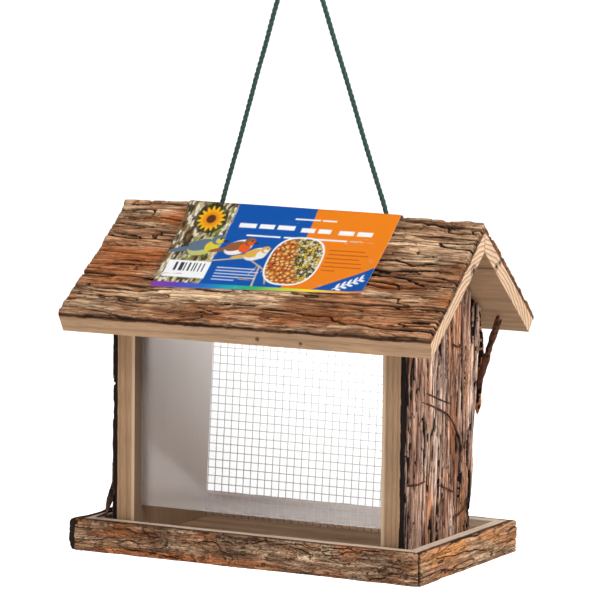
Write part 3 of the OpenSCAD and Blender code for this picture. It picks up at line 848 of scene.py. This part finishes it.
# The left wall's copy of the wall colours, its brightness tuned for how light falls on that wall's front:
# painted light
LEFT_WALL_SHADES = (rgb(172, 136, 102), rgb(136, 98, 68), rgb(186, 150, 118))
ROOF_SHADES = (rgb(184, 148, 114), rgb(148, 108, 76), rgb(236, 200, 166))
FRONT_KNOTS, JOINT_KNOTS = ([(from_base(x, y, z), r * MM) for x, y, z, r in spots] for spots in (
    ((155, -18.5, 226.5, 6), (12, -88.5, 174, 2.2), (48, -88.5, 173, 1.8)),
    ((155, 33, 231.5, 4.4), (155, 27, 228.9, 2.8), (155, 21, 226.4, 3.6))))
REAR_PITH = slope_pith(1, 90 * MM, 55 * MM)

sawn_board("front_roof_board", "X", slope_pith(-1, 82 * MM, 62 * MM), 1, ROOF_SHADES,
           warp=front_board_warp, knots=FRONT_KNOTS)
sawn_board("ridge_strip", "X", REAR_PITH, 2, ROOF_SHADES, knots=JOINT_KNOTS)
sawn_board("roof_flap", "X", REAR_PITH, 2, ROOF_SHADES, "flap", knots=JOINT_KNOTS)
sawn_board("right_wall", "Z", (WALL_OUT - 70 * MM, MID_Y - 8 * MM, 0), 4, WALL_SHADES, inner=-1)
sawn_board("left_wall", "Z", (70 * MM - WALL_OUT, MID_Y + 6 * MM, 0), 5, LEFT_WALL_SHADES, inner=1)
sawn_board("floor_board", "X", (0, MID_Y + 20 * MM, BASE_Z - 90 * MM), 6, FLOOR_SHADES)
sawn_board("front_rim", "X", (0, MID_Y - WOOD_Y + 60 * MM, BASE_Z + 8 * MM), 7, RIM_SHADES)
sawn_board("rear_rim", "X", (0, MID_Y + WOOD_Y - 60 * MM, BASE_Z + 16 * MM), 8, RIM_SHADES)
sawn_board("right_rim", "Y", (WOOD_X - 60 * MM, 0, BASE_Z + 10 * MM), 9, RIM_SHADES)
sawn_board("left_rim", "Y", (60 * MM - WOOD_X, 0, BASE_Z + 14 * MM), 10, RIM_SHADES)

# -------- wire mesh

MESH_PITCH, WIRE = 6.35 * MM, 0.9 * MM
MESH_COLS, MESH_ROWS = 35, 27
MESH_BOTTOM = np.array([0.0, MID_Y + 45 * MM, FLOOR_Z])
MESH_LEAN = math.radians(4.315)
MESH_UP = np.array([0, math.sin(MESH_LEAN), math.cos(MESH_LEAN)])
MESH_OUT = np.array([0, math.cos(MESH_LEAN), -math.sin(MESH_LEAN)])
UPRIGHTS_OUT, CROSSWIRES_OUT = 0.45 * MM, 1.25 * MM
WIRE_POINTS = 16


def on_mesh(x, up, out):
    """A place on the leaning mesh: out is the distance behind the walls' rear edges."""
    return np.array([x, 0, 0]) + MESH_BOTTOM + MESH_UP * (up + 0.6 * MM) + MESH_OUT * out


def wavy_wire(a, b, seed):
    t = np.linspace(0, 1, WIRE_POINTS)[:, None]
    step = np.arange(WIRE_POINTS)
    push = fractal(np.full(WIRE_POINTS, seed + 0.0), step * 0.8, 71) - 0.5
    tug = fractal(np.full(WIRE_POINTS, seed + 0.5), step * 0.7, 72) - 0.5
    line = a + (b - a) * t
    return line + np.outer(push, [0, 0.25 * MM, 0]) + np.outer(tug, [0.2 * MM, 0, 0.2 * MM]), WIRE * 0.42


def make_mesh():
    half = MESH_COLS * MESH_PITCH / 2
    top = MESH_ROWS * MESH_PITCH + WIRE
    end = half + 0.4 * MM
    columns = [-half + i * MESH_PITCH for i in range(MESH_COLS + 1)]
    rows = [j * MESH_PITCH + WIRE / 2 for j in range(MESH_ROWS + 1)]
    runs = [wavy_wire(on_mesh(x, 0, UPRIGHTS_OUT), on_mesh(x, top, UPRIGHTS_OUT), i)
            for i, x in enumerate(columns)]
    runs += [wavy_wire(on_mesh(-end, up, CROSSWIRES_OUT), on_mesh(end, up, CROSSWIRES_OUT), j)
             for j, up in enumerate(rows, 60)]
    belongs(tubes("welded_mesh", runs, WIRE_MAT, 6), "house", "galvanised_wire", "mesh_panel")


make_mesh()

# -------- printed card

# The card's picture is drawn on its own scale, this many millimetres wide
PRINT_W = 185
WHITE, BLUE, ORANGE = (250, 250, 250), (6, 84, 172), (242, 132, 22)


def soft(distance, blur=0.35):
    """1 where the distance, in millimetres, is below 0."""
    return 1 - smooth(-blur, blur, distance)


class Print:
    """Colours laid on each other. x runs right and y down the card from the ridge, in millimetres."""

    def __init__(self, x, y, ground):
        self.x, self.y = x, y
        self.colour = np.ones(x.shape + (3,)) * np.array(rgb(*ground)[:3])

    def dab(self, mask, ink):
        """Lays a colour, or another print's colours, where the mask is 1."""
        ink = ink if isinstance(ink, np.ndarray) else np.array(rgb(*ink)[:3])
        self.colour = self.colour + mask[..., None] * (ink - self.colour)

    def oval(self, ink, cx, cy, rx, ry, turn=0.0, blur=0.35, strength=1.0):
        c, s = math.cos(math.radians(turn)), math.sin(math.radians(turn))
        dx, dy = self.x - cx, self.y - cy
        u, v = (dx * c + dy * s) / rx, (dy * c - dx * s) / ry
        self.dab(soft((np.hypot(u, v) - 1) * min(rx, ry), blur) * strength, ink)

    def bar(self, ink, x0, x1, middle, thick, strength=1.0):
        away = np.maximum(np.maximum(x0 - self.x, self.x - x1), np.abs(self.y - middle) - thick / 2)
        self.dab(soft(away) * strength, ink)

    def stroke(self, ink, ax, ay, bx, by, thick):
        dx, dy = bx - ax, by - ay
        t = np.clip(((self.x - ax) * dx + (self.y - ay) * dy) / (dx ** 2 + dy ** 2), 0, 1)
        self.dab(soft(np.hypot(self.x - ax - t * dx, self.y - ay - t * dy) - thick / 2), ink)

    def bird(self, cx, cy, size, back, chest, belly):
        """A plain perching bird from ovals, cx and cy at the middle of its body."""
        for ink, dx, dy, rx, ry, turn in (
                (back, -1.25, 0.30, 0.85, 0.17, -14), (belly, 0, 0, 1, 0.62, -24),
                (back, -0.25, -0.08, 0.78, 0.40, -20), (chest, 0.45, 0.02, 0.42, 0.42, 0),
                (back, 0.68, -0.52, 0.40, 0.36, 0), (chest, 0.78, -0.44, 0.24, 0.2, 0),
                ((50, 40, 30), 1.15, -0.45, 0.18, 0.07, 0), ((15, 15, 15), 0.80, -0.60, 0.07, 0.07, 0)):
            self.oval(ink, cx + size * dx, cy + size * dy, size * rx, size * ry, turn)


def wood_picture(x, y):
    """The soft garden picture at the card's left end."""
    lean = x + 0.12 * y
    picture = Print(x, y, (122, 96, 58))
    picture.dab(smooth(0.45, 0.62, fractal(lean / 5.5, y / 30, 11)), (196, 176, 128))
    picture.dab(smooth(0.52, 0.62, fractal(lean / 1.6, y / 5, 12)) * 0.9, (240, 234, 214))
    leaves = smooth(0.52, 0.66, fractal(x / 4.5, y / 4.5, 13))
    picture.dab(leaves * smooth(6, 24, x) * 0.9, (128, 142, 52))
    picture.dab(smooth(0.53, 0.62, fractal(x / 3, y / 7, 14)) * 0.9, (52, 36, 24))
    return picture.colour


def seed_window(x, y):
    """Nuts on the left and small mixed seed on the right, as domed cells."""
    border, middle, name = cells(x / 4.6, y / 4.0, 21)
    nuts = Print(x, y, (196, 96, 36))
    nuts.dab(smooth(0.3, 0.8, name), (226, 150, 60))
    nuts.dab(smooth(0.34, 0.05, middle), (250, 214, 150))
    nuts.dab(1 - smooth(0.0, 0.22, border), (60, 26, 14))
    border, middle, name = cells(x / 2.5, y / 2.2, 22)
    seed = Print(x, y, (214, 170, 48))
    seed.dab(soft(0.36 - name, 0.02), (52, 62, 46))
    seed.dab(soft(0.76 - name, 0.02), (222, 210, 176))
    seed.dab(smooth(0.30, 0.05, middle) * 0.6, (250, 236, 150))
    seed.dab(1 - smooth(0.0, 0.2, border), (38, 34, 26))
    nuts.dab(smooth(-3, 4, x - 1.5 * np.sin(y / 5) - 113 - 0.35 * (y - 50)), seed.colour)
    return nuts.colour


def card_print(x, y):
    card = Print(x, y, BLUE)
    card.dab(soft(114 - x), ORANGE)
    picture = soft(x - (45 + 3.0 * (fractal(x / 7, y / 7, 31) - 0.5) - 0.05 * y), 1.0)
    card.dab(picture, (255, 255, 255))
    card.dab(picture, wood_picture(x, y))
    # A sunflower
    turn = np.arctan2(y - 15, x - 25)
    card.oval((40, 46, 22), 25, 15, 14.5, 14.5, strength=0.85)
    card.dab(soft(np.hypot(x - 25, y - 15) - (10.5 + 1.9 * np.cos(15 * turn)), 0.6), (250, 186, 20))
    card.oval((236, 130, 24), 25, 15, 7.5, 7.5, blur=1.6, strength=0.75)
    card.oval((92, 50, 20), 25, 15, 4.2, 4.2, blur=0.8)
    # Twigs and birds
    for twig in ((28, 60, 72, 52, 1.3), (72, 52, 92, 64, 1.1), (92, 64, 98, 78, 1.0),
                 (86, 60, 88, 84, 1.5), (90, 66, 100, 52, 0.7), (84, 60, 80, 70, 0.6)):
        card.stroke((206, 190, 150), *twig)
    card.bird(30, 43, 14.5, (96, 116, 138), (222, 206, 60), (196, 196, 120))
    card.bird(60, 42, 12.0, (148, 92, 58), (236, 92, 30), (244, 240, 236))
    card.bird(78, 48, 10.0, (226, 176, 70), (240, 236, 226), (238, 232, 222))
    # A white box with plain stripes of random width, which encode nothing
    card.bar(WHITE, 5, 43, 68, 18)
    gaps = value_noise(np.floor(x / 1.1), np.zeros(x.shape), 44)
    card.bar((60, 60, 66), 11, 39, 65.5, 9, gaps > 0.52)
    # Plain bars in place of the lines of words
    for bars, middle, thick in ((((52, 67), (70, 83), (86, 101)), 19.2, 4.3),
                                (((107, 119), (122, 133)), 20.5, 4.3),
                                (((140, 153), (156, 169)), 21.0, 4.3),
                                (((62, 92), (95, 116), (119, 150)), 29.0, 1.5),
                                (((98, 120), (122, 134)), 10.0, 1.3)):
        for x0, x1 in bars:
            card.bar(WHITE, x0, x1, middle, thick)
    for k, right in enumerate((84, 88, 86, 88, 70)):
        card.bar((214, 226, 244), 50, right, 64 + 3.2 * k, 1.1, 0.85)
    for k, right in enumerate((170, 174, 168, 171, 173, 152)):
        card.bar((150, 62, 22), 139 + k % 2, right, 39 + 4.2 * k, 0.9, 0.75)
    # The seed window with a white edge
    window = (np.abs((x - 113.5) / 23.5) ** 2.6 + np.abs((y - 53) / 25.5) ** 2.6) ** (1 / 2.6)
    card.dab(soft((window - 1) * 24, 0.4), WHITE)
    card.dab(soft((window - 0.94) * 24, 0.4), seed_window(x, y))
    # A blue corner with a white leaf spray
    card.dab(soft((138 + (82 - y) * 1.72) - x), BLUE)
    card.stroke(WHITE, 158, 79, 180, 66, 0.9)
    for k in range(5):
        cx, cy = 161 + 4.2 * k, 77.2 - 2.5 * k
        card.oval(WHITE, cx, cy - 2.2, 2.6, 1.0, -70)
        card.oval(WHITE, cx + 1.6, cy + 1.6, 2.6, 1.0, 12)
    # A rainbow strip along the lower edge
    hues = np.array([rgb(*hue)[:3] for hue in (
        (150, 60, 160), (90, 70, 190), (40, 110, 200), (30, 170, 180), (60, 180, 90), (190, 214, 70),
        (250, 226, 60), (250, 180, 60), (240, 120, 50))])
    steps = np.linspace(0, PRINT_W, len(hues))
    card.dab(soft(83.0 - y - 0.015 * x), np.stack([np.interp(x, steps, hue) for hue in hues.T], -1))
    return card.colour


CARD_FRONT, CARD_REAR, CARD_T = 89 * MM, 17 * MM, 0.4 * MM
CARD_N = 5.4 * MM
CARD_FOLD = 1.2 * MM
CORD_HOLES = [(side * 71 * MM, -5 * MM / math.cos(SLOPE)) for side in (-1, 1)]


def card_path(t, n=0.0):
    """The card's section: t is the way from the fold, in front where positive, and n the height
    over the sheet. Gives y, z and how far the sheet has turned, with a rounded fold."""
    flat = np.maximum(np.abs(t) - CARD_FOLD * SLOPE, 0)
    turn = np.clip(t / CARD_FOLD, -SLOPE, SLOPE)
    y = -CARD_FOLD * np.sin(turn) - np.sign(t) * flat * math.cos(SLOPE)
    z = CARD_FOLD * np.cos(turn) - flat * math.sin(SLOPE)
    hub = RIDGE_Z + (CARD_N - CARD_FOLD) / math.cos(SLOPE)
    return MID_Y + y - np.sin(turn) * n, hub + z + np.cos(turn) * n, turn


def card_material():
    s = Shader("printed_card")
    ink = s.attribute("print", "Color")
    dots = s.noise(1800, 2)
    wear = s.noise(70, 5, 0.7)
    ink = s.shade(ink, dots, (0.3, 0.93), (0.7, 1.03))
    ink = s.mix(s.times(s.ramp(wear, (0.62, 0.0), (0.72, 1.0)), 0.10), ink, rgb(240, 240, 240))
    return s.done(ink, s.ramp(wear, (0.3, 0.30), (0.7, 0.42)), s.bump(wear, 0.12, 0.8 * MM),
                  Specular_IOR_Level=0.25, Coat_Weight=0.15, Coat_Roughness=0.12)


def make_card():
    """The folded card, a little out of square, lifting at its lower right corner, with two holes
    round the cord."""
    a, b, index, quads = grid(330, 190)
    t = -CARD_REAR + b * (CARD_FRONT - 7.5 * MM * a + CARD_REAR)
    down = np.clip(t / CARD_FRONT, 0, 1)
    left, right = -95.0 * MM + 4.0 * MM * down, 86.0 * MM - 0.7 * MM * down
    x = left + a * (right - left)
    lift = (4.2 - 2.0 * a) * MM * np.exp(-np.abs(t) / (16 * MM))
    lift = lift + 1.3 * MM * down ** 5 + 0.5 * MM * (fractal(a * 3, b * 3, 51) - 0.5) * down
    lift = lift + 1.5 * MM * smooth(0.93, 1.0, a) * down * (0.4 + 0.6 * down)
    keep = np.ones(quads.shape[:2], bool)
    px, pt = x, t
    wide, hole = 7 * MM, 2.9 * MM
    for hx, ht in CORD_HOLES:
        dx, dt = px - hx, pt - ht
        far = np.hypot(dx, dt)
        corners = far[:-1, :-1] + far[1:, :-1] + far[:-1, 1:] + far[1:, 1:]
        keep &= corners > corners.min() + 1e-9
        grown = np.where(far < wide, hole + far * (wide - hole) / wide, far) / np.maximum(far, 1e-9)
        px, pt = hx + dx * grown, ht + dt * grown
    y, z, turn = card_path(pt, lift)
    face = np.stack([px, y, z], -1)
    out = np.stack([np.zeros_like(px), -np.sin(turn), np.cos(turn)], -1)
    vertices = np.vstack([face.reshape(-1, 3), (face - out * CARD_T).reshape(-1, 3)])
    quads = quads[keep]
    faces = quads[:, ::-1].tolist() + (quads + index.size).tolist()
    pairs = dict.fromkeys((q[i], q[(i + 1) % 4]) for q in quads.tolist() for i in range(4))
    faces += [(p, q, q + index.size, p + index.size) for p, q in pairs if (q, p) not in pairs]
    card = new_object("folded_card", vertices, faces, card_material())
    fix_normals(card)
    colours = card_print(a * PRINT_W, np.maximum(t, 0) / MM)
    colours[t < -1.0 * MM] = rgb(22, 92, 176)[:3]
    rgba = np.ones((2 * index.size, 4), np.float32)
    rgba[:index.size, :3] = colours.reshape(-1, 3)
    rgba[index.size:, :3] = 0.75
    card.data.color_attributes.new("print", "FLOAT_COLOR", "POINT").data.foreach_set("color", rgba.ravel())
    belongs(card, "house", "printed_card", "label_card")


def make_card_staples():
    """Two staples through the card's rear flap, their ends bent in."""
    across = np.linspace(-5.5 * MM, 5.5 * MM, 9)
    raised = 0.25 * MM - 1.2 * MM * smooth(4.2 * MM, 5.5 * MM, np.abs(across))
    y, z, _ = card_path(np.array([-13 * MM]))
    y, z = y + math.sin(SLOPE) * raised, z + math.cos(SLOPE) * raised
    runs = [(np.stack([middle + across, y, z], -1), 0.32 * MM) for middle in (-60 * MM, 48 * MM)]
    belongs(tubes("card_staples", runs, STEEL_MAT), "house", "plated_steel", "label_staples")


make_card()
make_card_staples()

# -------- loose strands of bark


def strand(name, width, thick, *points, material=LOOSE_MAT):
    """A flat strip of bark along points, its width and thickness in millimetres."""
    name = "bark_" + name
    line, length = along([from_base(*p) for p in points], 1.2 * MM)
    far = np.linspace(0, 1, len(line))
    taper = np.sqrt(np.clip(1 - np.abs(2 * far - 1) ** 7, 0.03, 1))
    rough = 0.6 + 0.8 * fractal(far * length / 0.006, far * 0, 90 + len(name))
    vertices, faces = tube_mesh(line, width / 2 * MM * taper * rough, flat=thick / width)
    piece = new_object(name, vertices, faces, material)
    mottle = fractal(vertices[:, 2] / 0.004, vertices[:, 0] / 0.0015 + vertices[:, 1] / 0.0015, 61)
    store(piece, "crack", smooth(0.5, 0.62, mottle))
    fix_normals(piece)
    belongs(piece, "house", "wall_bark")


strand("strand_rear_right", 6.2, 3.6, (126, 55, 128), (127.5, 55.5, 138), (130.5, 56, 148),
       (133, 57, 158.5), (136, 58, 170.5), (139.5, 60, 185.5))
strand("fork_rear_right", 2.4, 1.8, (134, 57, 158), (137, 58.5, 167), (139, 61, 176), (140, 64, 182))
strand("flake_rear_right", 8, 2.4, (123.5, 51, 196), (124.5, 55.5, 178), (125.5, 57, 158),
       (125.5, 57.5, 138), (125, 55.5, 109), material=WALL_BARK_MAT)
strand("tendril", 1.9, 1.6, (125.5, -43.6, 130.5), (127, -21.3, 123.3), (127.6, -0.3, 114.6),
       (127.6, 14.2, 100.7), (127.2, 21.8, 86), (126, 20.8, 67))
strand("tendril_upper", 1.5, 1.2, (125.5, -36.7, 136.3), (127, -12.5, 128.1), (125.5, 8.4, 122.6))
strand("twig_low_front", 1.6, 1.3, (125, -64.6, 70.6), (127, -47.9, 69.7), (125.5, -31, 71.1))
strand("twig_low_mid", 1.6, 1.3, (125.5, -15.3, 65.1), (127, -1.3, 60.1), (125.5, 14.6, 54.8))
strand("twig_top", 1.6, 1.3, (125.5, 8, 168), (127, 16, 165), (125.5, 24, 166))
strand("twig_low_rear", 1.8, 1.4, (125.5, 18.9, 35.1), (127.5, 30, 41), (126, 39.6, 46.6))
strand("strand_left", 5.4, 3.2, (-120.5, -57, 108), (-123, -60, 92), (-124.5, -61, 61),
       (-125, -64, 50), (-126, -68, 39), (-127, -71, 30), (-127.5, -72, 25.5))
strand("strand_left_thin", 2.2, 1.4, (-122, -55, 150), (-126, -58, 130), (-126, -60, 110), (-123, -60, 96))
strand("twigs_left", 2.0, 1.6, (-134, -50, 26.5), (-130, -62, 28.5), (-127, -74, 28), (-131, -80, 26.5))
strand("twig_left_low", 1.8, 1.4, (-124, -40, 34), (-130, -52, 31), (-136, -66, 27.5))

# -------- metal and clear CAD pieces

for material, nodes in ((STEEL_MAT, ("hinge_fixed_leaves", "hinge_flap_leaves", "hinge_pins",
                                     "hinge_fixed_screws", "hinge_flap_screws")),
                        (WIRE_MAT, ("mesh_staples",)),
                        (NAIL_MAT, ("rim_nails", "wall_nails", "roof_nails")),
                        (PANE_MAT, ("window_pane",))):
    for node in nodes:
        if not NODES[node].material_slots:
            NODES[node].data.materials.append(None)
        for place in NODES[node].material_slots:
            place.material = material

# -------- floor, light and view

# How far the studio floor lies below the tray
FLOOR_DROP = 0.40


def area_light(name, place, target, size, power):
    data = bpy.data.lights.new(name, "AREA")
    data.shape = "RECTANGLE"
    data.size, data.size_y = size
    data.energy = power
    lamp = link(name, data)
    lamp.location = place
    lamp.rotation_euler = (Vector(target) - Vector(place)).to_track_quat("-Z", "Y").to_euler()


def glow_board():
    """A round white board in front on the left, bright in its middle, that the window mirrors."""
    s = Shader("glow_board")
    far = s.vector("LENGTH", s.object, output="Value")
    glow = s.add("MapRange", {"Value": far, "From Min": 0.2, "From Max": 0.6, "To Min": 11.5, "To Max": 0.0},
                 interpolation_type="SMOOTHSTEP")
    s.done((0.05, 0.05, 0.05, 1), 0.9, Emission_Color=(1, 1, 1, 1), Emission_Strength=glow.outputs[0])
    work = bmesh.new()
    bmesh.ops.create_circle(work, cap_ends=True, radius=0.6, segments=48)
    board = link("glow_board", mesh_of(work, "glow_board", s.mat))
    board.location = from_base(-1000, -2475, 100)
    board.rotation_euler = (TARGET - board.location).to_track_quat("Z", "Y").to_euler()
    board.visible_camera = False


def studio_floor():
    s = Shader("studio_white")
    seen = s.add("LightPath").outputs["Is Camera Ray"]
    level = s.add("MapRange", {"Value": seen, "To Min": 0.15, "To Max": 1.0}).outputs[0]
    s.done((0.9, 0.9, 0.9, 1), 0.9, Emission_Color=(1, 1, 1, 1), Emission_Strength=level)
    work = bmesh.new()
    bmesh.ops.create_grid(work, x_segments=1, y_segments=1, size=14)
    floor = link("studio_floor", mesh_of(work, "studio_floor", s.mat))
    floor.location = (0, 0, BASE_Z - FLOOR_DROP)


def studio_world():
    """White where the camera sees it, and a dim even light on the object."""
    world = bpy.data.worlds.new("studio")
    world.use_nodes = True
    tree = world.node_tree
    sky = tree.nodes["Background"]
    sky.inputs["Color"].default_value = (1, 1, 1, 1)
    seen = tree.nodes.new("ShaderNodeLightPath").outputs["Is Camera Ray"]
    level = tree.nodes.new("ShaderNodeMapRange")
    level.inputs["To Min"].default_value = 0.2
    level.inputs["To Max"].default_value = 1.1
    tree.links.new(seen, level.inputs["Value"])
    tree.links.new(level.outputs["Result"], sky.inputs["Strength"])
    bpy.context.scene.world = world


studio_floor()
studio_world()
glow_board()
MIDDLE = (0, 0, BASE_Z + 0.13)
area_light("key", (2.2, -0.1, 1.0), MIDDLE, (1.0, 1.0), 43)
area_light("top", (0.9, -1.5, 1.7), MIDDLE, (1.0, 0.8), 27)
area_light("back", (0.6, 2.4, 1.0), MIDDLE, (1.6, 1.2), 22)
bpy.context.scene.view_settings.view_transform = "Standard"
